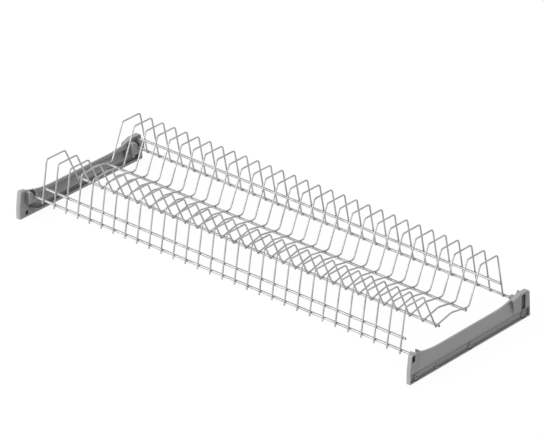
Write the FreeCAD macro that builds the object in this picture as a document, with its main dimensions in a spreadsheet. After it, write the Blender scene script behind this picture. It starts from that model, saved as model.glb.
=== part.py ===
import FreeCAD, Part
import math
import os
import Sketcher

# Cabinet dish rack: a welded wire shelf with a row of plate loops in front and a row of plate
# frames behind, lifted into two moulded side brackets that are screwed to the cabinet's sides.
# Millimetres. X runs along the rack, Y from front to rear, Z up. The origin is the middle of the
# footprint, on the brackets' undersides.

document = FreeCAD.newDocument("cabinet_dish_rack")

# Driving sizes, in millimetres, degrees or counts

SIZES = [
    # Whole rack
    ("overall_length", 768),
    ("row_end_gap", 36),
    ("station_count", 30),
    ("loop_to_frame_step", 3),
    # Wire and rods
    ("wire_diameter", 2.5),
    ("rail_diameter", 4),
    ("weld_gap", 0.05),
    ("seat_clearance", 0.3),
    ("rail_end_play", 1.5),
    ("short_rail_overhang", 1.5),
    # Front loop, seen from the side
    ("loop_top_height", 98.5),
    ("loop_top_width", 39.7),
    ("loop_front_lean", 11.6),
    ("loop_foot_inset", 21.5),
    ("loop_foot_height", 28),
    ("loop_rear_foot", 34.7),
    ("loop_rear_foot_height", 38.1),
    ("loop_bend_radius", 5),
    # Rear frame, seen from the side
    ("frame_front_overhang", 2.2),
    ("frame_crest_front", 3.5),
    ("frame_rise_angle", 12.6),
    ("frame_valley", 35.8),
    ("frame_fall_angle", 10.5),
    ("frame_top_height", 100.8),
    ("frame_top_width", 38.7),
    ("frame_rear_lean", 15.6),
    ("frame_foot_inset", 20.9),
    ("frame_foot_height", 27),
    ("frame_crest_radius", 18),
    ("frame_valley_radius", 6),
    ("frame_bend_radius", 5),
    # Heights of the rails, and the place of the rail under the frames
    ("front_lower_rail_height", 32.3),
    ("front_upper_rail_height", 51),
    ("middle_rail_height", 40.1),
    ("rear_upper_rail_height", 52.6),
    ("rear_lower_rail_height", 27.8),
    ("rear_bottom_rail_step", 7.3),
    # Side bracket, outline
    ("bracket_depth", 272),
    ("bracket_thickness", 8),
    ("bracket_height", 46.3),
    ("front_edge_lean", 3.4),
    ("front_edge_straight", 20),
    ("front_edge_radius", 60),
    ("front_corner_radius", 2.5),
    ("front_block_length", 17),
    ("front_block_fall", 2.2),
    ("front_dip_run", 55),
    ("web_drop", 11.4),
    ("dip_lead", 0.5),
    ("rear_dip_run", 51),
    ("rear_block_length", 25),
    ("rear_block_fall", 2.5),
    ("rear_edge_lean", 3),
    ("rear_corner_radius", 5),
    # Side bracket, section of the web between its ends
    ("bottom_lip_height", 2.5),
    ("recess_depth", 3),
    ("recess_height", 8.5),
    ("ridge_inset", 0.8),
    ("ridge_bottom", 15),
    ("ridge_top", 18),
    ("web_top_inset", 4.8),
    ("front_strip", 1.7),
    ("front_chamfer", 1.2),
    ("front_panel_length", 16),
    ("rear_panel_length", 39.5),
    ("rear_panel_bottom", 17),
    ("rear_strip", 3.5),
    # Side bracket, inner face
    ("groove_bottom", 4.5),
    ("groove_height", 7.8),
    ("groove_depth", 3.6),
    ("groove_rear_inset", 10),
    ("groove_front_inset", 20),
    ("groove_flare_length", 20),
    ("groove_flare_rise", 10.3),
    ("dish_radius", 10),
    ("dish_height", 22),
    ("dish_depth", 4),
    ("dish_end_inset", 38),
    ("screw_seat_width", 6.4),
    ("screw_seat_height", 6.8),
    ("lip_rib_reach", 3),
    ("lip_rib_thickness", 1.6),
    ("lip_rib_length", 12),
    # Side bracket, outer face
    ("screw_count", 3),
    ("screw_end_inset", 15),
    ("screw_height", 7),
    ("screw_hole_radius", 2),
    ("screw_ring_radius", 4.6),
    ("screw_ring_inset", 1.5),
    ("screw_halo_radius", 6.3),
    ("peg_front_inset", 60.5),
    ("peg_height", 5),
    ("peg_ring_radius", 3.2),
    ("peg_hole_radius", 1.5),
    ("peg_inset", 1.8),
    ("peg_hole_depth", 1),
    ("front_pocket_inset", 4.9),
    ("front_pocket_length", 6.5),
    ("front_pocket_bottom", 33.5),
    ("front_pocket_top", 43),
    ("front_pocket_depth", 6.5),
    ("rear_slot_inset", 12),
    ("rear_slot_length", 9),
    ("rear_slot_bottom", 16),
    ("rear_slot_top_inset", 3.3),
    ("rear_slot_depth", 4),
    # Seats for the two long rails
    ("front_seat_reach", 7),
    ("front_seat_wall", 8.7),
    ("front_seat_finger", 6.2),
    ("front_seat_bottom", 23),
    ("front_seat_top", 42.5),
    ("front_seat_mouth", 38),
    ("front_finger_top", 42),
    ("front_finger_tip", 1.6),
    ("front_finger_shoulder", 34),
    ("rear_seat_reach", 8.5),
    ("rear_seat_front_wall", 10.4),
    ("rear_seat_rear_wall", 10.5),
    ("rear_seat_bottom", 18),
    ("rear_seat_front_top", 38.8),
    ("rear_seat_peak", 40.6),
    ("rear_seat_peak_tip", 4.4),
    ("rear_seat_back_top", 34.5),
    ("rear_seat_funnel", 3.9),
    ("rear_seat_funnel_bottom", 34),
    ("seat_root", 2),
    ("seat_corner_radius", 2),
    ("seat_tip_radius", 1),
    ("seat_heel_radius", 4),
]

sizes = document.addObject("Spreadsheet::Sheet", "Sizes")
for row, (alias, number) in enumerate(SIZES, start=1):
    sizes.set("A%d" % row, alias)
    sizes.set("B%d" % row, str(number))
    sizes.setAlias("B%d" % row, alias)
document.recompute()

# Lines and places worked out from the driving sizes. A leg is a straight line in the side view,
# and a rail lies against it at the contact distance, measured square to the leg.

LAYOUT = [
    ("contact", "(Sizes.wire_diameter + Sizes.rail_diameter) / 2 + Sizes.weld_gap"),
    ("half_depth", "Sizes.bracket_depth / 2"),
    ("half_stations", "Sizes.overall_length / 2 - Sizes.row_end_gap"),
    ("station_pitch", "2 * half_stations / (Sizes.station_count - 1)"),
    ("long_rail_half", "Sizes.overall_length / 2 - Sizes.bracket_thickness - Sizes.rail_end_play"),
    (
        "short_rail_half",
        "half_stations + Sizes.loop_to_frame_step / 2 + Sizes.short_rail_overhang",
    ),
    # Front loop
    ("loop_front_foot", "half_depth - Sizes.loop_foot_inset"),
    ("loop_top_front", "loop_front_foot - Sizes.loop_front_lean"),
    ("loop_top_rear", "loop_top_front - Sizes.loop_top_width"),
    (
        "loop_front_slope",
        "Sizes.loop_front_lean / (Sizes.loop_top_height - Sizes.loop_foot_height)",
    ),
    (
        "loop_rear_slope",
        "(loop_top_rear - Sizes.loop_rear_foot)"
        " / (Sizes.loop_top_height - Sizes.loop_rear_foot_height)",
    ),
    ("loop_front_contact", "contact * sqrt(1 + loop_front_slope ^ 2)"),
    ("loop_rear_contact", "contact * sqrt(1 + loop_rear_slope ^ 2)"),
    (
        "front_lower_rail_y",
        "loop_front_contact - loop_front_foot + loop_front_slope"
        " * (Sizes.front_lower_rail_height - Sizes.loop_foot_height)",
    ),
    (
        "front_upper_rail_y",
        "loop_front_contact - loop_front_foot + loop_front_slope"
        " * (Sizes.front_upper_rail_height - Sizes.loop_foot_height)",
    ),
    (
        "middle_rail_y",
        "loop_rear_contact - Sizes.loop_rear_foot - loop_rear_slope"
        " * (Sizes.middle_rail_height - Sizes.loop_rear_foot_height)",
    ),
    # Rear frame
    ("rise_slope", "tan(Sizes.frame_rise_angle)"),
    ("fall_slope", "tan(Sizes.frame_fall_angle)"),
    ("frame_front_y", "middle_rail_y - Sizes.frame_front_overhang"),
    (
        "frame_front_height",
        "Sizes.middle_rail_height + contact * sqrt(1 + rise_slope ^ 2)"
        " - rise_slope * Sizes.frame_front_overhang",
    ),
    ("crest_y", "-Sizes.frame_crest_front"),
    ("crest_height", "frame_front_height + rise_slope * (crest_y - frame_front_y)"),
    (
        "valley_height",
        "crest_height - fall_slope * (Sizes.frame_valley - crest_y)",
    ),
    ("frame_rear_foot", "half_depth - Sizes.frame_foot_inset"),
    ("frame_top_rear", "frame_rear_foot - Sizes.frame_rear_lean"),
    ("frame_top_front", "frame_top_rear - Sizes.frame_top_width"),
    (
        "frame_rear_slope",
        "Sizes.frame_rear_lean / (Sizes.frame_top_height - Sizes.frame_foot_height)",
    ),
    ("frame_rear_contact", "contact * sqrt(1 + frame_rear_slope ^ 2)"),
    ("rear_bottom_rail_y", "Sizes.frame_valley - Sizes.rear_bottom_rail_step"),
    (
        "rear_bottom_rail_height",
        "crest_height - fall_slope * (rear_bottom_rail_y - crest_y)"
        " - contact * sqrt(1 + fall_slope ^ 2)",
    ),
    (
        "rear_upper_rail_y",
        "frame_rear_foot - frame_rear_contact - frame_rear_slope"
        " * (Sizes.rear_upper_rail_height - Sizes.frame_foot_height)",
    ),
    (
        "rear_lower_rail_y",
        "frame_rear_foot + frame_rear_contact - frame_rear_slope"
        " * (Sizes.rear_lower_rail_height - Sizes.frame_foot_height)",
    ),
    # Bracket outline: each dip is one arc, which starts a short lead below its shoulder and is
    # level with the web where it ends
    ("web_top", "Sizes.bracket_height - Sizes.web_drop"),
    ("front_shoulder_y", "Sizes.front_block_length - half_depth"),
    ("front_shoulder_height", "Sizes.bracket_height - Sizes.front_block_fall"),
    ("front_dip", "Sizes.web_drop - Sizes.front_block_fall"),
    ("front_dip_corner", "(Sizes.front_dip_run ^ 2 - front_dip ^ 2) / (2 * Sizes.front_dip_run)"),
    (
        "front_dip_radius",
        "(Sizes.front_dip_run ^ 2 + front_dip ^ 2) / (2 * front_dip)"
        " * (1 - Sizes.dip_lead / (Sizes.front_dip_run - front_dip_corner))",
    ),
    ("rear_shoulder_y", "half_depth - Sizes.rear_block_length"),
    ("rear_top", "Sizes.bracket_height - Sizes.rear_block_fall"),
    ("rear_dip", "Sizes.web_drop - Sizes.rear_block_fall"),
    ("rear_dip_corner", "(Sizes.rear_dip_run ^ 2 - rear_dip ^ 2) / (2 * Sizes.rear_dip_run)"),
    (
        "rear_dip_radius",
        "(Sizes.rear_dip_run ^ 2 + rear_dip ^ 2) / (2 * rear_dip)"
        " * (1 - Sizes.dip_lead / (Sizes.rear_dip_run - rear_dip_corner))",
    ),
    ("dish_end", "half_depth - Sizes.dish_end_inset"),
    # Rail slots in the seats
    ("slot_half", "Sizes.rail_diameter / 2 + Sizes.seat_clearance"),
    ("front_slot_bottom", "Sizes.front_lower_rail_height - slot_half"),
    ("rear_slot_floor", "Sizes.rear_lower_rail_height - slot_half"),
]

layout = document.addObject("Spreadsheet::Sheet", "Layout")
for row, (alias, formula) in enumerate(LAYOUT, start=1):
    layout.set("A%d" % row, alias)
    layout.set("B%d" % row, "=" + formula)
    layout.setAlias("B%d" % row, alias)
    document.recompute()


def value(expression):
    """The present number behind an expression on the two sheets."""
    result = sizes.evalExpression(expression)
    return float(getattr(result, "Value", result))


def origin_plane(body, role):
    for feature in body.Origin.OriginFeatures:
        if feature.Role == role:
            return feature


def new_sketch(body, name, role, offset="0"):
    sketch = body.newObject("Sketcher::SketchObject", name)
    sketch.AttachmentSupport = [(origin_plane(body, role), "")]
    sketch.MapMode = "FlatFace"
    sketch.setExpression("AttachmentOffset.Base.z", offset)
    return sketch


def bind(sketch, kind, geometry, name, expression):
    """Add a dimension to the sketch and bind it to an expression."""
    number = sketch.addConstraint(Sketcher.Constraint(kind, *geometry, value(expression)))
    sketch.renameConstraint(number, name)
    sketch.setExpression("Constraints." + name, expression)


def place_point(sketch, geometry, name, across, up):
    """Dimension a point from the sketch's origin."""
    bind(sketch, "DistanceX", (-1, 1) + geometry, name + "_across", across)
    bind(sketch, "DistanceY", (-1, 1) + geometry, name + "_up", up)


def draw_outline(sketch, name, corners, closed=True):
    """Join the corners with lines, and round each corner that has a radius.

    A corner is (across, up) or (across, up, radius), each an expression.
    """
    points = [FreeCAD.Vector(value(corner[0]), value(corner[1]), 0) for corner in corners]
    count = len(corners)
    enter = list(points)
    leave = list(points)
    arcs = {}
    for i, corner in enumerate(corners):
        if len(corner) < 3:
            continue
        into = (points[i] - points[i - 1]).normalize()
        out = (points[(i + 1) % count] - points[i]).normalize()
        radius = value(corner[2])
        turn = into.getAngle(out)
        back = radius * math.tan(turn / 2)
        enter[i] = points[i] - into * back
        leave[i] = points[i] + out * back
        left = into.cross(out).z > 0
        side = FreeCAD.Vector(-into.y, into.x, 0) * (radius if left else -radius)
        centre = enter[i] + side
        first, last = (enter[i], leave[i]) if left else (leave[i], enter[i])
        start = math.atan2(first.y - centre.y, first.x - centre.x)
        end = math.atan2(last.y - centre.y, last.x - centre.x)
        circle = Part.Circle(centre, FreeCAD.Vector(0, 0, 1), radius)
        arcs[i] = (sketch.addGeometry(Part.ArcOfCircle(circle, start, end)), left)
    lines = {}
    for i in range(count if closed else count - 1):
        lines[i] = sketch.addGeometry(Part.LineSegment(leave[i], enter[(i + 1) % count]))
    for i, corner in enumerate(corners):
        label = "%s_%d" % (name, i + 1)
        before = lines.get(i - 1 if i or not closed else count - 1)
        after = lines.get(i)
        if i in arcs:
            arc, left = arcs[i]
            mark = sketch.addGeometry(Part.Point(points[i]), True)
            sketch.addConstraint(
                [
                    Sketcher.Constraint("Tangent", before, 2, arc, 1 if left else 2),
                    Sketcher.Constraint("Tangent", arc, 2 if left else 1, after, 1),
                    Sketcher.Constraint("PointOnObject", mark, 1, before),
                    Sketcher.Constraint("PointOnObject", mark, 1, after),
                ]
            )
            bind(sketch, "Radius", (arc,), label + "_radius", corner[2])
            place_point(sketch, (mark, 1), label, corner[0], corner[1])
        elif before is None:
            place_point(sketch, (after, 1), label, corner[0], corner[1])
        elif after is None:
            place_point(sketch, (before, 2), label, corner[0], corner[1])
        else:
            sketch.addConstraint(Sketcher.Constraint("Coincident", before, 2, after, 1))
            place_point(sketch, (after, 1), label, corner[0], corner[1])


def draw_circle(sketch, name, across, up, radius):
    centre = FreeCAD.Vector(value(across), value(up), 0)
    circle = sketch.addGeometry(Part.Circle(centre, FreeCAD.Vector(0, 0, 1), value(radius)))
    bind(sketch, "Radius", (circle,), name + "_radius", radius)
    place_point(sketch, (circle, 3), name, across, up)


def rectangle(left, right, bottom, top):
    return [(left, bottom), (right, bottom), (right, top), (left, top)]


def add_feature(body, kind, sketch, name, length):
    """A pad of the sketch towards the cabinet wall, or a pocket away from it."""
    feature = body.newObject("PartDesign::" + kind, name)
    feature.Profile = sketch
    feature.setExpression("Length", length)
    return feature


# Wires: one bent length of round wire each, swept along the side view that its row shares


def side_view(name, corners):
    """The path of a row's wires in the plane X = 0, and a round section square to its start."""
    path = document.addObject("Sketcher::SketchObject", name + "_path")
    path.Placement.Rotation = FreeCAD.Rotation(
        FreeCAD.Vector(0, 1, 0), FreeCAD.Vector(0, 0, 1), FreeCAD.Vector(1, 0, 0), "XYZ"
    )
    draw_outline(path, "bend", corners, closed=False)
    path.recompute()
    section = document.addObject("Sketcher::SketchObject", name + "_section")
    section.AttachmentSupport = [(path, "Edge1")]
    section.MapMode = "NormalToEdge"
    draw_circle(section, "wire", "0", "0", "Sizes.wire_diameter / 2")
    section.recompute()
    return path, section


def bent_wire(name, view, place):
    path, section = view
    wire = document.addObject("Part::Sweep", name)
    wire.Sections = [section]
    wire.Spine = (path, ["Edge%d" % (number + 1) for number in range(len(path.Shape.Edges))])
    wire.Solid = True
    wire.setExpression("Placement.Base.x", place)
    return wire


def front_loops(count):
    """The plate loops of the front row: up the front, across the top and down to the middle
    rail."""
    view = side_view(
        "front_loop",
        [
            ("-Layout.loop_front_foot", "Sizes.loop_foot_height"),
            ("-Layout.loop_top_front", "Sizes.loop_top_height", "Sizes.loop_bend_radius"),
            ("-Layout.loop_top_rear", "Sizes.loop_top_height", "Sizes.loop_bend_radius"),
            ("-Sizes.loop_rear_foot", "Sizes.loop_rear_foot_height"),
        ],
    )
    start = "-Layout.half_stations - Sizes.loop_to_frame_step / 2"
    return [
        bent_wire("front_loop_%02d" % (i + 1), view, "%s + %d * Layout.station_pitch" % (start, i))
        for i in range(count)
    ]


def rear_frames(count):
    """The plate frames of the rear row: over the middle rail, through a low crest and a valley
    that holds the plate's edge, up, across the top and down to the lower rear rail."""
    view = side_view(
        "rear_frame",
        [
            ("Layout.frame_front_y", "Layout.frame_front_height"),
            ("Layout.crest_y", "Layout.crest_height", "Sizes.frame_crest_radius"),
            ("Sizes.frame_valley", "Layout.valley_height", "Sizes.frame_valley_radius"),
            ("Layout.frame_top_front", "Sizes.frame_top_height", "Sizes.frame_bend_radius"),
            ("Layout.frame_top_rear", "Sizes.frame_top_height", "Sizes.frame_bend_radius"),
            ("Layout.frame_rear_foot", "Sizes.frame_foot_height"),
        ],
    )
    start = "-Layout.half_stations + Sizes.loop_to_frame_step / 2"
    return [
        bent_wire("rear_frame_%02d" % (i + 1), view, "%s + %d * Layout.station_pitch" % (start, i))
        for i in range(count)
    ]


# Rails: straight rods along X that the wires are welded to


def rail(name, half_length, across, height):
    rod = document.addObject("Part::Cylinder", name)
    rod.Placement.Rotation = FreeCAD.Rotation(FreeCAD.Vector(0, 1, 0), 90)
    rod.setExpression("Radius", "Sizes.rail_diameter / 2")
    rod.setExpression("Height", "2 * " + half_length)
    rod.setExpression("Placement.Base.x", "-" + half_length)
    rod.setExpression("Placement.Base.y", across)
    rod.setExpression("Placement.Base.z", height)
    return rod


# Side bracket: a moulding 8 mm thick. It is drawn for the right-hand side in a frame whose
# X = 0 is the cabinet's wall, so that every X inside the bracket is negative.


def bracket_blank(body):
    """The web's section along the whole depth, with a full-thickness strip and a slightly
    thinner panel at the front and a full-thickness panel and strip at the rear, before the
    outline is cut."""
    section = new_sketch(body, "web_section", "XZ_Plane", "-Layout.half_depth")
    draw_outline(
        section,
        "web",
        [
            ("0", "0"),
            ("0", "Sizes.bottom_lip_height"),
            ("-Sizes.recess_depth", "Sizes.bottom_lip_height"),
            ("-Sizes.recess_depth", "Sizes.bottom_lip_height + Sizes.recess_height"),
            ("-Sizes.ridge_inset", "Sizes.ridge_bottom"),
            ("-Sizes.ridge_inset", "Sizes.ridge_top"),
            ("-Sizes.web_top_inset", "Layout.web_top"),
            ("-Sizes.web_top_inset", "Sizes.bracket_height"),
            ("-Sizes.bracket_thickness", "Sizes.bracket_height"),
            ("-Sizes.bracket_thickness", "0"),
        ],
    )
    add_feature(body, "Pad", section, "web", "Sizes.bracket_depth")

    strip = new_sketch(body, "front_strip_side", "YZ_Plane", "-Sizes.bracket_thickness")
    draw_outline(
        strip,
        "strip",
        [
            ("-Layout.half_depth", "0"),
            ("Sizes.front_strip - Layout.half_depth", "0"),
            (
                "Sizes.front_strip - Layout.half_depth",
                "Sizes.front_edge_straight",
                "Sizes.front_edge_radius",
            ),
            (
                "Sizes.front_strip + Sizes.front_edge_lean - Layout.half_depth",
                "Sizes.bracket_height",
            ),
            ("-Layout.half_depth", "Sizes.bracket_height"),
        ],
    )
    add_feature(body, "Pad", strip, "front_strip", "Sizes.bracket_thickness")

    block = new_sketch(body, "front_panel_side", "YZ_Plane", "-Sizes.bracket_thickness")
    draw_outline(
        block,
        "panel",
        rectangle(
            "-Layout.half_depth",
            "Sizes.front_panel_length - Layout.half_depth",
            "Sizes.ridge_top",
            "Sizes.bracket_height",
        ),
    )
    reach = "Sizes.bracket_thickness - Sizes.ridge_inset"
    add_feature(body, "Pad", block, "front_panel", reach)

    panel = new_sketch(body, "rear_panel_side", "YZ_Plane", "-Sizes.bracket_thickness")
    draw_outline(
        panel,
        "panel",
        [
            ("Layout.half_depth - Sizes.rear_panel_length", "Sizes.rear_panel_bottom"),
            ("Layout.half_depth - Sizes.rear_strip", "Sizes.rear_panel_bottom"),
            ("Layout.half_depth - Sizes.rear_strip", "0"),
            ("Layout.half_depth", "0"),
            ("Layout.half_depth", "Sizes.bracket_height"),
            ("Layout.half_depth - Sizes.rear_panel_length", "Sizes.bracket_height"),
        ],
    )
    add_feature(body, "Pad", panel, "rear_panel", "Sizes.bracket_thickness")


def bracket_outline(body):
    """Everything outside the side view is cut away: two blocks joined by a web that dips."""
    margin = "Sizes.bracket_thickness"
    waste = new_sketch(body, "outline_side", "YZ_Plane")
    draw_outline(
        waste,
        "around",
        rectangle(
            "-Layout.half_depth - " + margin,
            "Layout.half_depth + " + margin,
            "-" + margin,
            "Sizes.bracket_height + " + margin,
        ),
    )
    draw_outline(
        waste,
        "outline",
        [
            ("-Layout.half_depth", "0"),
            ("Layout.half_depth", "0"),
            (
                "Layout.half_depth - Sizes.rear_edge_lean",
                "Layout.rear_top",
                "Sizes.rear_corner_radius",
            ),
            ("Layout.rear_shoulder_y", "Layout.rear_top"),
            (
                "Layout.rear_shoulder_y - Layout.rear_dip_corner",
                "Layout.web_top",
                "Layout.rear_dip_radius",
            ),
            (
                "Layout.front_shoulder_y + Layout.front_dip_corner",
                "Layout.web_top",
                "Layout.front_dip_radius",
            ),
            ("Layout.front_shoulder_y", "Layout.front_shoulder_height"),
            (
                "Sizes.front_edge_lean - Layout.half_depth",
                "Sizes.bracket_height",
                "Sizes.front_corner_radius",
            ),
            ("-Layout.half_depth", "Sizes.front_edge_straight", "Sizes.front_edge_radius"),
        ],
    )
    depth = "2 * (Sizes.bracket_thickness + %s)" % margin
    cut = add_feature(body, "Pocket", waste, "outline", depth)
    cut.Midplane = True


def bracket_dish(body):
    """A long shallow dish along the inner face, part of a round channel."""
    channel = new_sketch(body, "dish_section", "XZ_Plane", "Layout.dish_end")
    axis = "Sizes.dish_depth - Sizes.bracket_thickness - Sizes.dish_radius"
    draw_circle(channel, "channel", axis, "Sizes.dish_height", "Sizes.dish_radius")
    add_feature(body, "Pocket", channel, "dish", "2 * Layout.dish_end")


def bracket_seats(body):
    """Two open seats on the inner face, each with a slot that the end of a long rail drops into."""
    front = new_sketch(
        body,
        "front_seat_side",
        "YZ_Plane",
        "-Sizes.bracket_thickness - Sizes.front_seat_reach",
    )
    rail_y = "Layout.front_lower_rail_y"
    draw_outline(
        front,
        "seat",
        [
            (rail_y + " - Layout.slot_half - Sizes.front_seat_wall", "Sizes.front_seat_bottom"),
            (rail_y + " + Layout.slot_half + Sizes.front_seat_finger", "Sizes.front_seat_bottom"),
            (
                rail_y + " + Layout.slot_half + Sizes.front_seat_finger",
                "Sizes.front_finger_shoulder",
            ),
            (
                rail_y + " + Layout.slot_half + Sizes.front_finger_tip",
                "Sizes.front_finger_top",
                "Sizes.seat_tip_radius",
            ),
            (rail_y + " + Layout.slot_half", "Sizes.front_finger_top"),
            (
                rail_y + " + Layout.slot_half",
                "Layout.front_slot_bottom",
                "Sizes.seat_corner_radius",
            ),
            (
                rail_y + " - Layout.slot_half",
                "Layout.front_slot_bottom",
                "Sizes.seat_corner_radius",
            ),
            (rail_y + " - Layout.slot_half", "Sizes.front_seat_mouth"),
            (
                rail_y + " - Layout.slot_half - Sizes.front_seat_wall / 2",
                "Sizes.front_seat_top",
                "Sizes.seat_corner_radius",
            ),
            (
                rail_y + " - Layout.slot_half - Sizes.front_seat_wall",
                "Sizes.front_seat_top",
                "Sizes.seat_corner_radius",
            ),
        ],
    )
    reach = "Sizes.front_seat_reach + Sizes.seat_root"
    add_feature(body, "Pad", front, "front_seat", reach)

    rear = new_sketch(
        body,
        "rear_seat_side",
        "YZ_Plane",
        "-Sizes.bracket_thickness - Sizes.rear_seat_reach",
    )
    rail_y = "Layout.rear_lower_rail_y"
    front_face = rail_y + " - Layout.slot_half - Sizes.rear_seat_front_wall"
    rear_face = rail_y + " + Layout.slot_half + Sizes.rear_seat_rear_wall"
    draw_outline(
        rear,
        "seat",
        [
            (front_face, "Sizes.rear_seat_bottom", "Sizes.seat_corner_radius"),
            (rear_face, "Sizes.rear_seat_bottom", "Sizes.seat_heel_radius"),
            (rear_face, "Sizes.rear_seat_back_top", "Sizes.seat_corner_radius"),
            (
                rail_y + " + Layout.slot_half + Sizes.rear_seat_peak_tip",
                "Sizes.rear_seat_peak",
                "Sizes.seat_tip_radius",
            ),
            (rail_y + " + Layout.slot_half", "Sizes.rear_seat_funnel_bottom"),
            (
                rail_y + " + Layout.slot_half",
                "Layout.rear_slot_floor",
                "Sizes.seat_corner_radius",
            ),
            (
                rail_y + " - Layout.slot_half",
                "Layout.rear_slot_floor",
                "Sizes.seat_corner_radius",
            ),
            (rail_y + " - Layout.slot_half", "Sizes.rear_seat_funnel_bottom"),
            (
                rail_y + " - Layout.slot_half - Sizes.rear_seat_funnel",
                "Sizes.rear_seat_front_top",
                "Sizes.seat_tip_radius",
            ),
            (front_face, "Sizes.rear_seat_front_top", "Sizes.seat_tip_radius"),
        ],
    )
    reach = "Sizes.rear_seat_reach + Sizes.seat_root"
    add_feature(body, "Pad", rear, "rear_seat", reach)


def screw_places():
    """The screws stand in a row along the foot, evenly spaced between the two end ones."""
    gaps = int(value("Sizes.screw_count")) - 1
    end = "(Layout.half_depth - Sizes.screw_end_inset)"
    return ["%s * %d / %d" % (end, 2 * number - gaps, gaps) for number in range(gaps + 1)]


def bracket_inner_face(body):
    """The groove for a drip tray's edge, flared at the front, a rib along each lip of its mouth
    and a pocket for each screw's head."""
    floor = "Sizes.groove_depth - Sizes.bracket_thickness"
    mouth = "Sizes.groove_front_inset - Layout.half_depth"
    narrow = mouth + " + Sizes.groove_flare_length"
    rear = "Layout.half_depth - Sizes.groove_rear_inset"
    top = "Sizes.groove_bottom + Sizes.groove_height"
    groove = new_sketch(body, "groove_side", "YZ_Plane", floor)
    draw_outline(
        groove,
        "groove",
        [
            (mouth, "Sizes.groove_bottom + Sizes.groove_flare_rise"),
            (narrow, "Sizes.groove_bottom"),
            (rear, "Sizes.groove_bottom"),
            (rear, top),
            (narrow, top),
            (mouth, top + " + Sizes.groove_flare_rise"),
        ],
    )
    add_feature(body, "Pocket", groove, "groove", "Sizes.groove_depth")

    ribs = new_sketch(
        body, "mouth_ribs_side", "YZ_Plane", "-Sizes.bracket_thickness - Sizes.lip_rib_reach"
    )
    left_over = "(1 - Sizes.lip_rib_length / Sizes.groove_flare_length)"
    rib_end = mouth + " + Sizes.lip_rib_length"
    for name, level, thickness in (
        ("upper", top, "Sizes.lip_rib_thickness"),
        ("lower", "Sizes.groove_bottom", "-Sizes.lip_rib_thickness"),
    ):
        start_level = level + " + Sizes.groove_flare_rise"
        end_level = start_level + " * " + left_over
        draw_outline(
            ribs,
            name,
            [
                (mouth, start_level),
                (rib_end, end_level),
                (rib_end, end_level + " + " + thickness),
                (mouth, start_level + " + " + thickness),
            ],
        )
    add_feature(body, "Pad", ribs, "mouth_ribs", "Sizes.lip_rib_reach + Sizes.seat_root")

    seats = new_sketch(body, "screw_seats_side", "YZ_Plane", floor)
    for number, place in enumerate(screw_places(), start=1):
        draw_outline(
            seats,
            "seat_%d" % number,
            rectangle(
                place + " - Sizes.screw_seat_width / 2",
                place + " + Sizes.screw_seat_width / 2",
                "Sizes.screw_height - Sizes.screw_seat_height / 2",
                "Sizes.screw_height + Sizes.screw_seat_height / 2",
            ),
        )
    add_feature(body, "Pocket", seats, "screw_seats", "Sizes.groove_depth")


def bracket_outer_face(body):
    """Ringed screw holes in round recesses, a small locating peg ring, and two pockets that
    lighten the end blocks."""
    halos = new_sketch(body, "screw_halos_side", "YZ_Plane")
    rings = new_sketch(body, "screw_rings_side", "YZ_Plane", "-Sizes.recess_depth")
    holes = new_sketch(body, "screw_holes_side", "YZ_Plane")
    for number, place in enumerate(screw_places(), start=1):
        name = "screw_%d" % number
        draw_circle(halos, name, place, "Sizes.screw_height", "Sizes.screw_halo_radius")
        draw_circle(rings, name, place, "Sizes.screw_height", "Sizes.screw_ring_radius")
        draw_circle(holes, name, place, "Sizes.screw_height", "Sizes.screw_hole_radius")
    add_feature(body, "Pocket", halos, "screw_halos", "Sizes.recess_depth")
    ring_height = "Sizes.recess_depth - Sizes.screw_ring_inset"
    add_feature(body, "Pad", rings, "screw_rings", ring_height)
    add_feature(body, "Pocket", holes, "screw_holes", "Sizes.bracket_thickness")

    peg_y = "Sizes.peg_front_inset - Layout.half_depth"
    peg = new_sketch(body, "peg_ring_side", "YZ_Plane", "-Sizes.recess_depth")
    draw_circle(peg, "peg", peg_y, "Sizes.peg_height", "Sizes.peg_ring_radius")
    add_feature(body, "Pad", peg, "peg_ring", "Sizes.recess_depth - Sizes.peg_inset")
    peg_hole = new_sketch(body, "peg_hole_side", "YZ_Plane", "-Sizes.peg_inset")
    draw_circle(peg_hole, "peg", peg_y, "Sizes.peg_height", "Sizes.peg_hole_radius")
    add_feature(body, "Pocket", peg_hole, "peg_hole", "Sizes.peg_hole_depth")

    front = new_sketch(body, "front_pocket_side", "YZ_Plane")
    start = "Sizes.front_pocket_inset - Layout.half_depth"
    draw_outline(
        front,
        "pocket",
        rectangle(
            start,
            start + " + Sizes.front_pocket_length",
            "Sizes.front_pocket_bottom",
            "Sizes.front_pocket_top",
        ),
    )
    add_feature(body, "Pocket", front, "front_pocket", "Sizes.front_pocket_depth")

    slot = new_sketch(body, "rear_slot_side", "YZ_Plane")
    rear = "Layout.half_depth - Sizes.rear_slot_inset"
    draw_outline(
        slot,
        "slot",
        [
            (rear + " - Sizes.rear_slot_length", "Sizes.rear_slot_bottom"),
            (rear, "Sizes.rear_slot_bottom"),
            (rear, "Layout.rear_top - Sizes.rear_slot_top_inset", "Sizes.seat_corner_radius"),
            (
                rear + " - Sizes.rear_slot_length",
                "Layout.rear_top - Sizes.rear_slot_top_inset",
                "Sizes.seat_corner_radius",
            ),
        ],
    )
    add_feature(body, "Pocket", slot, "rear_slot", "Sizes.rear_slot_depth")


def edges_where(shape, wanted):
    """Names of the shape's edges whose middle point and length pass the test."""
    names = []
    for number, edge in enumerate(shape.Edges, start=1):
        middle = edge.valueAt((edge.FirstParameter + edge.LastParameter) / 2)
        if wanted(middle, edge.Length):
            names.append("Edge%d" % number)
    return names


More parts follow.
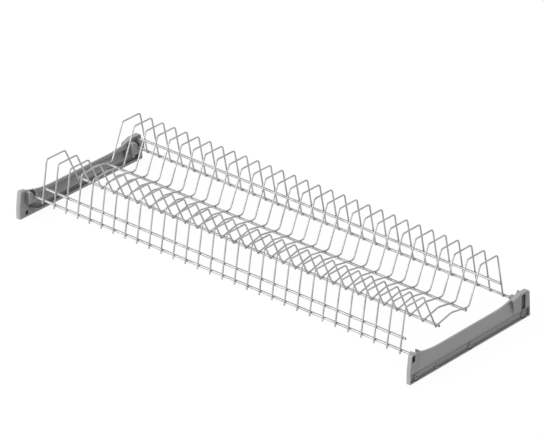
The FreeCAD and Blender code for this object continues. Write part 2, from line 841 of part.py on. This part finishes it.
def bracket_edges(body):
    """A chamfer down the front face's inner edge."""
    document.recompute()
    half_depth = value("Layout.half_depth")
    thickness = value("Sizes.bracket_thickness")
    near = value("Sizes.front_edge_lean") + value("Sizes.front_corner_radius")
    slack = 0.01
    base = body.Tip

    def front_edge(middle, length):
        return middle.x < slack - thickness and middle.y < near - half_depth and length > near

    chamfer = body.newObject("PartDesign::Chamfer", "front_chamfer")
    chamfer.Base = (base, edges_where(base.Shape, front_edge))
    chamfer.setExpression("Size", "Sizes.front_chamfer")


def right_bracket():
    body = document.addObject("PartDesign::Body", "right_bracket")
    bracket_blank(body)
    bracket_outline(body)
    bracket_dish(body)
    bracket_seats(body)
    bracket_inner_face(body)
    bracket_outer_face(body)
    bracket_edges(body)
    body.setExpression("Placement.Base.x", "Sizes.overall_length / 2")
    return body


def left_bracket(right):
    """The right bracket mirrored across the middle of the rack."""
    mirror = document.addObject("Part::Mirroring", "left_bracket")
    mirror.Source = right
    mirror.Normal = FreeCAD.Vector(1, 0, 0)
    return mirror


# Assembly: two brackets, six rails, and the two rows of wires at every station

right = right_bracket()
nodes = [right, left_bracket(right)]
for name, half_length, across, height in (
    (
        "front_lower_rail",
        "Layout.long_rail_half",
        "Layout.front_lower_rail_y",
        "Sizes.front_lower_rail_height",
    ),
    (
        "front_upper_rail",
        "Layout.short_rail_half",
        "Layout.front_upper_rail_y",
        "Sizes.front_upper_rail_height",
    ),
    ("middle_rail", "Layout.short_rail_half", "Layout.middle_rail_y", "Sizes.middle_rail_height"),
    (
        "rear_bottom_rail",
        "Layout.short_rail_half",
        "Layout.rear_bottom_rail_y",
        "Layout.rear_bottom_rail_height",
    ),
    (
        "rear_upper_rail",
        "Layout.short_rail_half",
        "Layout.rear_upper_rail_y",
        "Sizes.rear_upper_rail_height",
    ),
    (
        "rear_lower_rail",
        "Layout.long_rail_half",
        "Layout.rear_lower_rail_y",
        "Sizes.rear_lower_rail_height",
    ),
):
    nodes.append(rail(name, half_length, across, height))

station_count = int(value("Sizes.station_count"))
nodes += front_loops(station_count)

# Neighbouring rear frames share a node, two separate wires in each
frames = rear_frames(station_count)
for first in range(0, station_count, 2):
    pair = frames[first : first + 2]
    numbers = "_".join("%02d" % (first + 1 + step) for step in range(len(pair)))
    group = document.addObject("Part::Compound", "rear_frames_" + numbers)
    group.Links = pair
    nodes.append(group)

document.recompute()

# Every object must be sound before anything is written

for entry in document.Objects:
    if "Invalid" in entry.State or "Error" in entry.State:
        raise RuntimeError("%s is %s: %s" % (entry.Name, entry.State, entry.getStatusString()))
for node in nodes:
    if node.Shape.isNull() or not node.Shape.isValid():
        raise RuntimeError("%s has no valid shape" % node.Label)

# A wire's volume is its section times its length
wire_section = math.pi * (value("Sizes.wire_diameter") / 2) ** 2
for row in ("front_loop", "rear_frame"):
    swept = wire_section * document.getObject(row + "_path").Shape.Length
    print(row, "volume", round(document.getObject(row + "_01").Shape.Volume, 2), "of", round(swept, 2))

os.makedirs("parts", exist_ok=True)
for node in nodes:
    node.Shape.exportStep("parts/%s.step" % node.Label)
print(len(nodes), "nodes")
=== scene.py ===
import bmesh
import bpy
from mathutils import Matrix, Vector


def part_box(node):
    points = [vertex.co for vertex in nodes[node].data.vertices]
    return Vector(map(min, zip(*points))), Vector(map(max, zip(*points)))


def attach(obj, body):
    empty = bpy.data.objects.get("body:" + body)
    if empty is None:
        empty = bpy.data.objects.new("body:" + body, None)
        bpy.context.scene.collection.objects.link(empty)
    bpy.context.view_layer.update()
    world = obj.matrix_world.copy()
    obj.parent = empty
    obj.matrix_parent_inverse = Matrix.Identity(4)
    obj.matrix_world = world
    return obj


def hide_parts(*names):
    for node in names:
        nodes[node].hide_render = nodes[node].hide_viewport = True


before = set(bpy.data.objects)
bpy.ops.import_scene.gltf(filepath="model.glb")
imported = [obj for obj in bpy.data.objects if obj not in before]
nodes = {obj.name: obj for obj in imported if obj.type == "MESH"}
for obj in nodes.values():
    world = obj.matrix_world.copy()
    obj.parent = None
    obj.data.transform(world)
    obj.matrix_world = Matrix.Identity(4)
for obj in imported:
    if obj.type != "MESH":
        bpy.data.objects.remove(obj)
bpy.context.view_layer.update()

# Side brackets
# Two mouldings in silver-grey plastic, one for each side of the cabinet. Each is moulded in one
# piece with its rail seats, and three screws through the ringed holes hold it to the side panel.

# The even skin over the solid
skin_step = 0.00033
edge_easing = 9
kept_faces = 0.18
# The plastic: its colour, the flow marks and grain on it, and its sheen
plastic_tone = (0.365, 0.367, 0.377)
plastic_shine = 0.45
plastic_dullness = (0.4, 0.52)
flow_stretch = (60.0, 9.0, 60.0)
flow_shades = (0.95, 1.04)
flow_edges = (0.3, 0.7)
grain_scale = 2200.0
grain_strength = 0.35
grain_height = 0.00005
# Shade painted into the colour in recesses: how far it looks, where it ends and how dark it gets
nook_reach = 0.012
nook_deep = 0.65
nook_shallow = 1.0
painted_shade_tone = 0.28


def moulded_copy(name, node):
    """The bracket's solid under one even skin, eased so that its edges are as soft as a mould's."""
    shape = bmesh.new()
    shape.from_mesh(nodes[node].data)
    bmesh.ops.remove_doubles(shape, verts=shape.verts, dist=1e-6)
    solid = bpy.data.meshes.new(name + "_solid")
    shape.to_mesh(solid)
    shape.free()
    piece = bpy.data.objects.new(name, solid)
    bpy.context.scene.collection.objects.link(piece)
    skin = piece.modifiers.new("even_skin", "REMESH")
    skin.mode = "VOXEL"
    skin.voxel_size = skin_step
    skin.use_smooth_shade = True
    ease = piece.modifiers.new("soft_edges", "SMOOTH")
    ease.factor = 0.5
    ease.iterations = edge_easing
    fewer = piece.modifiers.new("fewer_faces", "DECIMATE")
    fewer.ratio = kept_faces
    flat = piece.modifiers.new("flat_faces", "WEIGHTED_NORMAL")
    flat.weight = 100
    bpy.context.view_layer.update()
    finished = piece.evaluated_get(bpy.context.evaluated_depsgraph_get())
    piece.data = bpy.data.meshes.new_from_object(finished)
    piece.modifiers.clear()
    return piece


def moulded_plastic(name, tone):
    """Satin plastic: a fine even grain, faint flow marks along the moulding, a soft sheen, and
    shade painted into its colour in recesses."""
    material = bpy.data.materials.new(name)
    material.use_nodes = True
    tree = material.node_tree
    shader = tree.nodes["Principled BSDF"]
    shader.inputs["Specular IOR Level"].default_value = plastic_shine
    place = tree.nodes.new("ShaderNodeTexCoord")
    along = tree.nodes.new("ShaderNodeMapping")
    along.inputs["Scale"].default_value = flow_stretch
    tree.links.new(place.outputs["Object"], along.inputs["Vector"])
    flow = tree.nodes.new("ShaderNodeTexNoise")
    flow.inputs["Scale"].default_value = 1.0
    flow.inputs["Detail"].default_value = 3.0
    tree.links.new(along.outputs["Vector"], flow.inputs["Vector"])
    colour = tree.nodes.new("ShaderNodeValToRGB")
    for stop, edge, shade in zip(colour.color_ramp.elements, flow_edges, flow_shades):
        stop.position = edge
        stop.color = [shade * part for part in tone] + [1.0]
    tree.links.new(flow.outputs["Fac"], colour.inputs["Fac"])
    # Painted shade: ambient occlusion darkens the base colour in recesses
    nook = tree.nodes.new("ShaderNodeAmbientOcclusion")
    nook.only_local = True
    nook.samples = 8
    nook.inputs["Distance"].default_value = nook_reach
    painted_shade_ramp = tree.nodes.new("ShaderNodeValToRGB")
    painted_shade_ramp.color_ramp.elements[0].position = nook_deep
    painted_shade_ramp.color_ramp.elements[0].color = (painted_shade_tone, painted_shade_tone, painted_shade_tone, 1.0)
    painted_shade_ramp.color_ramp.elements[1].position = nook_shallow
    painted_shade_ramp.color_ramp.interpolation = "B_SPLINE"
    tree.links.new(nook.outputs["AO"], painted_shade_ramp.inputs["Fac"])
    # The flow-marked colour is multiplied here by the painted shade of the recesses
    dull = tree.nodes.new("ShaderNodeMix")
    dull.data_type = "RGBA"
    dull.inputs["A"].default_value = (0.0, 0.0, 0.0, 1.0)
    tree.links.new(painted_shade_ramp.outputs["Color"], dull.inputs["Factor"])
    tree.links.new(colour.outputs["Color"], dull.inputs["B"])
    tree.links.new(dull.outputs["Result"], shader.inputs["Base Color"])
    sheen = tree.nodes.new("ShaderNodeMapRange")
    sheen.inputs["To Min"].default_value = plastic_dullness[0]
    sheen.inputs["To Max"].default_value = plastic_dullness[1]
    tree.links.new(flow.outputs["Fac"], sheen.inputs["Value"])
    tree.links.new(sheen.outputs["Result"], shader.inputs["Roughness"])
    grain = tree.nodes.new("ShaderNodeTexNoise")
    grain.inputs["Scale"].default_value = grain_scale
    grain.inputs["Detail"].default_value = 2.0
    tree.links.new(place.outputs["Object"], grain.inputs["Vector"])
    relief = tree.nodes.new("ShaderNodeBump")
    relief.inputs["Strength"].default_value = grain_strength
    relief.inputs["Distance"].default_value = grain_height
    tree.links.new(grain.outputs["Fac"], relief.inputs["Height"])
    tree.links.new(relief.outputs["Normal"], shader.inputs["Normal"])
    return material


silver_grey = moulded_plastic("silver_grey_plastic", plastic_tone)
for side in ("left", "right"):
    bracket = moulded_copy(side + "_bracket_moulding", side + "_bracket")
    bracket.data.materials.clear()
    bracket.data.materials.append(silver_grey)
    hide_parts(side + "_bracket")
    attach(bracket, "brackets")

# Rails
# Six straight rods, thicker than the wires and plated with them. The two lowest run on past the
# wires, and their ends drop into the seats of the brackets.

rail_names = (
    "front_lower_rail",
    "front_upper_rail",
    "middle_rail",
    "rear_bottom_rail",
    "rear_upper_rail",
    "rear_lower_rail",
)
rail_tone = (0.43, 0.432, 0.44)
rail_lines = (120.0, 2400.0, 2400.0)
rail_dullness = 0.42
# Plating, the same on rails, wires and welds
plating_metal = 0.82
drift_scale = 55.0
drift_shades = (0.8, 1.06)
drift_edges = (0.35, 0.62)
dullness_spread = 0.08
line_strength = 0.25
line_height = 0.00004


def plated_steel(name, tone, drawn, dull):
    """Satin plating over drawn steel: fine lines along the drawing, tone and gloss that drift."""
    material = bpy.data.materials.new(name)
    material.use_nodes = True
    tree = material.node_tree
    shader = tree.nodes["Principled BSDF"]
    shader.inputs["Metallic"].default_value = plating_metal
    place = tree.nodes.new("ShaderNodeTexCoord")
    stretch = tree.nodes.new("ShaderNodeMapping")
    stretch.inputs["Scale"].default_value = drawn
    tree.links.new(place.outputs["Object"], stretch.inputs["Vector"])
    lines = tree.nodes.new("ShaderNodeTexNoise")
    lines.inputs["Scale"].default_value = 1.0
    lines.inputs["Detail"].default_value = 4.0
    tree.links.new(stretch.outputs["Vector"], lines.inputs["Vector"])
    drift = tree.nodes.new("ShaderNodeTexNoise")
    drift.inputs["Scale"].default_value = drift_scale
    drift.inputs["Detail"].default_value = 2.0
    tree.links.new(place.outputs["Object"], drift.inputs["Vector"])
    colour = tree.nodes.new("ShaderNodeValToRGB")
    for stop, edge, shade in zip(colour.color_ramp.elements, drift_edges, drift_shades):
        stop.position = edge
        stop.color = [shade * part for part in tone] + [1.0]
    tree.links.new(drift.outputs["Fac"], colour.inputs["Fac"])
    tree.links.new(colour.outputs["Color"], shader.inputs["Base Color"])
    gloss = tree.nodes.new("ShaderNodeMapRange")
    gloss.inputs["To Min"].default_value = dull - dullness_spread
    gloss.inputs["To Max"].default_value = dull + dullness_spread
    tree.links.new(lines.outputs["Fac"], gloss.inputs["Value"])
    tree.links.new(gloss.outputs["Result"], shader.inputs["Roughness"])
    relief = tree.nodes.new("ShaderNodeBump")
    relief.inputs["Strength"].default_value = line_strength
    relief.inputs["Distance"].default_value = line_height
    tree.links.new(lines.outputs["Fac"], relief.inputs["Height"])
    tree.links.new(relief.outputs["Normal"], shader.inputs["Normal"])
    return material


plated_rod = plated_steel("plated_rod", rail_tone, rail_lines, rail_dullness)
for name in rail_names:
    nodes[name].material_slots[0].material = plated_rod

# Bent wires
# Each front loop and each rear frame is one length of drawn wire, bent in a former. The two rows
# stand side by side along the rails, a few millimetres apart at every station.

loop_names = sorted(name for name in nodes if name.startswith("front_loop_"))
frame_names = sorted(name for name in nodes if name.startswith("rear_frames_"))
wire_tone = (0.45, 0.452, 0.46)
wire_lines = (2600.0, 500.0, 500.0)
wire_dullness = 0.4
plated_wire = plated_steel("plated_wire", wire_tone, wire_lines, wire_dullness)
for name in loop_names + frame_names:
    nodes[name].material_slots[0].material = plated_wire

# Welds
# Every wire is spot-welded where it crosses a rail. The current pushes the two together and
# leaves a small flattened bead, a little darker than the plating around it.

bead_along = 0.0015
bead_across = 0.0012
bead_squash = 0.0009
bead_sides = 10
bead_rings = 6
weld_tone = (0.24, 0.24, 0.245)
weld_grain = (900.0, 900.0, 900.0)
weld_dullness = 0.42
wire_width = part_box("front_loop_01")[1][0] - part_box("front_loop_01")[0][0]
wire_radius = wire_width / 2


def wire_places(names):
    """The middle X of every wire: one in a loop's node, two in the node of a pair of frames."""
    places = []
    for name in names:
        low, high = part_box(name)
        places.append(low[0] + wire_radius)
        if high[0] - low[0] > 2 * wire_width:
            places.append(high[0] - wire_radius)
    return places


def weld_row(name, rail, places, towards):
    """A bead at each place along the rail, on the side of the rail that faces the wire."""
    low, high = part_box(rail)
    radius = (high[2] - low[2]) / 2
    towards = Vector((0.0, towards[0], towards[1])).normalized()
    seat = Vector((0.0, (low[1] + high[1]) / 2, (low[2] + high[2]) / 2)) + radius * towards
    along = Vector((1.0, 0.0, 0.0))
    turn = Matrix((along, towards.cross(along), towards)).transposed().to_4x4()
    flatten = Matrix.Diagonal((bead_across, bead_along, bead_squash, 1.0))
    beads = bmesh.new()
    for place in places:
        spot = Matrix.Translation(seat + place * along) @ turn @ flatten
        bmesh.ops.create_uvsphere(
            beads, u_segments=bead_sides, v_segments=bead_rings, radius=1.0, matrix=spot
        )
    for face in beads.faces:
        face.smooth = True
    data = bpy.data.meshes.new(name)
    beads.to_mesh(data)
    beads.free()
    data.materials.append(weld_grey)
    piece = bpy.data.objects.new(name, data)
    bpy.context.scene.collection.objects.link(piece)
    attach(piece, "shelf")


weld_grey = plated_steel("welded_bead", weld_tone, weld_grain, weld_dullness)
loop_places = wire_places(loop_names)
frame_places = wire_places(frame_names)

# The side of each rail that a wire lies against, as Y and Z parts of a direction
loop_front_side = (-0.987, 0.162)
loop_rear_side = (-0.904, -0.427)
frame_rise_side = (-0.218, 0.976)
frame_fall_side = (0.182, 0.983)
frame_rear_inner_side = (0.978, 0.207)
frame_rear_outer_side = (-0.978, -0.207)
weld_row("front_lower_welds", "front_lower_rail", loop_places, loop_front_side)
weld_row("front_upper_welds", "front_upper_rail", loop_places, loop_front_side)
weld_row("middle_loop_welds", "middle_rail", loop_places, loop_rear_side)
weld_row("middle_frame_welds", "middle_rail", frame_places, frame_rise_side)
weld_row("rear_bottom_welds", "rear_bottom_rail", frame_places, frame_fall_side)
weld_row("rear_upper_welds", "rear_upper_rail", frame_places, frame_rear_inner_side)
weld_row("rear_lower_welds", "rear_lower_rail", frame_places, frame_rear_outer_side)

# Floor and background
# A plain pale floor that the camera and the metal see as white. It keeps a faint share of the
# rack's shadow, and to the plastic it is a dim grey, as a studio table would be.

floor_half = 15.0
floor_tone = 0.3
shadow_share = 0.07
floor_mesh = bmesh.new()
bmesh.ops.create_grid(floor_mesh, x_segments=1, y_segments=1, size=floor_half)
floor_data = bpy.data.meshes.new("floor")
floor_mesh.to_mesh(floor_data)
floor_mesh.free()
floor = bpy.data.objects.new("floor", floor_data)
bpy.context.scene.collection.objects.link(floor)

white_floor = bpy.data.materials.new("white_floor")
white_floor.use_nodes = True
tree = white_floor.node_tree
tree.nodes.remove(tree.nodes["Principled BSDF"])
dim = tree.nodes.new("ShaderNodeBsdfDiffuse")
dim.inputs["Color"].default_value = (floor_tone, floor_tone, floor_tone, 1.0)
pale = tree.nodes.new("ShaderNodeBsdfDiffuse")
pale.inputs["Color"].default_value = (1.0, 1.0, 1.0, 1.0)
glow = tree.nodes.new("ShaderNodeEmission")
glow.inputs["Strength"].default_value = 1.0
white = tree.nodes.new("ShaderNodeMixShader")
white.inputs["Fac"].default_value = 1.0 - shadow_share
tree.links.new(pale.outputs["BSDF"], white.inputs[1])
tree.links.new(glow.outputs["Emission"], white.inputs[2])
path = tree.nodes.new("ShaderNodeLightPath")
seen = tree.nodes.new("ShaderNodeMath")
seen.operation = "MAXIMUM"
tree.links.new(path.outputs["Is Camera Ray"], seen.inputs[0])
tree.links.new(path.outputs["Is Glossy Ray"], seen.inputs[1])
blend = tree.nodes.new("ShaderNodeMixShader")
tree.links.new(seen.outputs["Value"], blend.inputs["Fac"])
tree.links.new(dim.outputs["BSDF"], blend.inputs[1])
tree.links.new(white.outputs["Shader"], blend.inputs[2])
tree.links.new(blend.outputs["Shader"], tree.nodes["Material Output"].inputs["Surface"])
floor_data.materials.append(white_floor)

# Light
# Even studio light all round, a little below white, and one large soft lamp in front, so that
# the faces towards it are the palest.

fill_strength = 0.87
world = bpy.data.worlds.new("studio")
world.use_nodes = True
bpy.context.scene.world = world
tree = world.node_tree
fill = tree.nodes["Background"]
fill.inputs["Color"].default_value = (1.0, 1.0, 1.0, 1.0)
fill.inputs["Strength"].default_value = fill_strength
white = tree.nodes.new("ShaderNodeBackground")
white.inputs["Strength"].default_value = 1.0
path = tree.nodes.new("ShaderNodeLightPath")
blend = tree.nodes.new("ShaderNodeMixShader")
tree.links.new(path.outputs["Is Camera Ray"], blend.inputs["Fac"])
tree.links.new(fill.outputs["Background"], blend.inputs[1])
tree.links.new(white.outputs["Background"], blend.inputs[2])
tree.links.new(blend.outputs["Shader"], tree.nodes["World Output"].inputs["Surface"])

lamp_place = Vector((-1.6, -4.2, 1.3))
lamp_size = 5.0
lamp_power = 270.0
lamp = bpy.data.lights.new("front_lamp", "AREA")
lamp.shape = "SQUARE"
lamp.size = lamp_size
lamp.energy = lamp_power
front_lamp = bpy.data.objects.new("front_lamp", lamp)
front_lamp.location = lamp_place
front_lamp.rotation_euler = (-lamp_place).to_track_quat("-Z", "Y").to_euler()
bpy.context.scene.collection.objects.link(front_lamp)

# Camera
# The photograph's viewing angle: from the right and above, far off and through a long lens. The
# lens is given as the picture's focal length in its own pixels.

camera_place = Vector((4.035, -4.611, 3.299))
view_direction = Vector((-0.5824, 0.6667, -0.4650))
lens_pixels = 4722.0
picture_width = 544.0
sensor_width = 36.0
far_limit = 100.0
camera_data = bpy.data.cameras.new("camera")
camera_data.sensor_fit = "HORIZONTAL"
camera_data.sensor_width = sensor_width
camera_data.lens = lens_pixels / picture_width * sensor_width
camera_data.clip_end = far_limit
camera = bpy.data.objects.new("camera", camera_data)
camera.location = camera_place
camera.rotation_euler = view_direction.to_track_quat("-Z", "Y").to_euler()
bpy.context.scene.collection.objects.link(camera)
bpy.context.scene.camera = camera
bpy.context.scene.view_settings.view_transform = "Standard"
